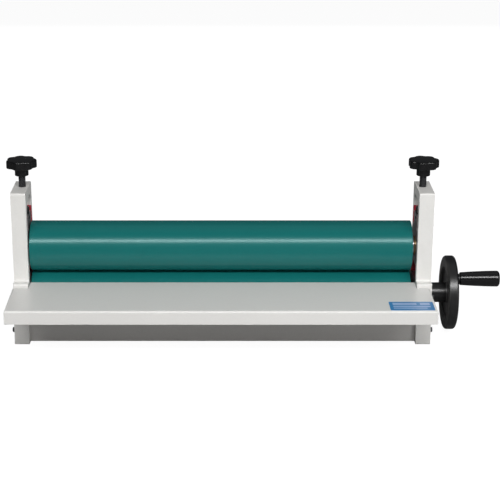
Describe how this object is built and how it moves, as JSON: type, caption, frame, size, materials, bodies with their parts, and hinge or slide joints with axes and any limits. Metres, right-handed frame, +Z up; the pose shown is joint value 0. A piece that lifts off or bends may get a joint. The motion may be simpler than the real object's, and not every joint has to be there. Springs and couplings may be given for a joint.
{
  "type": "cold roll laminator",
  "caption": "Hand-cranked cold roll laminator: two green rubber rollers between cast side frames, knobs on pressure screws above, feed table in front and a crank wheel at one end.",
  "frame": {"origin": "under the middle of the whole outline, on the bench", "axes": "+X along the rollers towards the handwheel, +Y from the feed table towards the back, +Z up"},
  "size_m": [0.8322, 0.242, 0.3064],
  "materials": {
    "frame_paint": "off-white satin powder coat over a casting",
    "table_paint": "off-white satin powder coat over sheet steel",
    "panel_paint": "off-white satin powder coat over sheet steel",
    "roller_rubber": "dark teal-green ground rubber, satin",
    "turned_steel": "turned steel",
    "block_steel": "milled steel, lightly oiled",
    "bronze": "sintered bronze",
    "zinc": "zinc-plated steel",
    "black_oxide": "black-oxide steel",
    "wheel_black": "gloss black",
    "knob_black": "gloss black phenolic",
    "grip_black": "gloss black phenolic",
    "strip_red": "red nylon",
    "label_blue": "printed film, plain blue with pale bars"
  },
  "bodies": {
    "frame": {"left_side_frame": "frame_paint", "right_side_frame": "frame_paint", "front_cross_panel": "panel_paint", "rear_cross_panel": "panel_paint", "cross_panel_screws": "black_oxide", "cross_panel_nuts": "zinc", "feed_table": "table_paint", "feed_table_nuts": "zinc", "feed_table_label": "label_blue", "left_lower_block": "block_steel", "right_lower_block": "block_steel", "left_lower_bush": "bronze", "right_lower_bush": "bronze", "lower_block_screws": "black_oxide", "left_guide_strips": "strip_red", "right_guide_strips": "strip_red"},
    "left_block": {"left_upper_block": "block_steel", "left_upper_bush": "bronze"},
    "right_block": {"right_upper_block": "block_steel", "right_upper_bush": "bronze"},
    "upper_roller": {"upper_roller_rubber": "roller_rubber", "upper_roller_tube": "turned_steel", "upper_left_journal": "turned_steel", "upper_right_journal": "turned_steel", "upper_spacer": "turned_steel"},
    "lower_roller": {"lower_roller_rubber": "roller_rubber", "lower_roller_tube": "turned_steel", "lower_left_journal": "turned_steel", "drive_shaft": "turned_steel", "lower_spacer": "turned_steel", "handwheel": "wheel_black", "handwheel_key": "turned_steel", "handwheel_washer": "zinc", "handwheel_screw": "black_oxide", "crank_spindle": "black_oxide"},
    "crank_grip": {"crank_grip": "grip_black"},
    "left_knob": {"left_pressure_screw": "black_oxide", "left_thrust_collars": "black_oxide", "left_knob": "knob_black"},
    "right_knob": {"right_pressure_screw": "black_oxide", "right_thrust_collars": "black_oxide", "right_knob": "knob_black"}
  },
  "joints": [
    {"name": "lower_roller_spin", "type": "hinge", "parent": "frame", "child": "lower_roller", "pos_m": [-0.05287, 0.051, 0.069], "axis": [1, 0, 0], "continuous": true},
    {"name": "crank_grip_spin", "type": "hinge", "parent": "lower_roller", "child": "crank_grip", "pos_m": [0.34913, 0.01821, 0.10541], "axis": [1, 0, 0], "continuous": true},
    {"name": "left_block_lift", "type": "slide", "parent": "frame", "child": "left_block", "axis": [0, 0, 1], "range_m": [0, 0.018]},
    {"name": "right_block_lift", "type": "slide", "parent": "frame", "child": "right_block", "axis": [0, 0, 1], "range_m": [0, 0.018]},
    {"name": "left_knob_turn", "type": "hinge", "parent": "left_block", "child": "left_knob", "pos_m": [-0.39012, 0.051, 0.1543], "axis": [0, 0, 1], "range_deg": [0, 3702.86]},
    {"name": "right_knob_turn", "type": "hinge", "parent": "right_block", "child": "right_knob", "pos_m": [0.28437, 0.051, 0.1543], "axis": [0, 0, 1], "range_deg": [0, 3702.86]},
    {"name": "upper_roller_spin", "type": "hinge", "parent": "left_block", "child": "upper_roller", "pos_m": [-0.05287, 0.051, 0.1543], "axis": [1, 0, 0], "continuous": true}
  ],
  "couplings": [
    {"joint": "upper_roller_spin", "follows": "lower_roller_spin", "ratio": -1},
    {"joint": "right_block_lift", "follows": "left_block_lift", "ratio": 1},
    {"joint": "left_knob_turn", "follows": "left_block_lift", "rad_per_m": 3590.4},
    {"joint": "right_knob_turn", "follows": "left_block_lift", "rad_per_m": 3590.4}
  ]
}
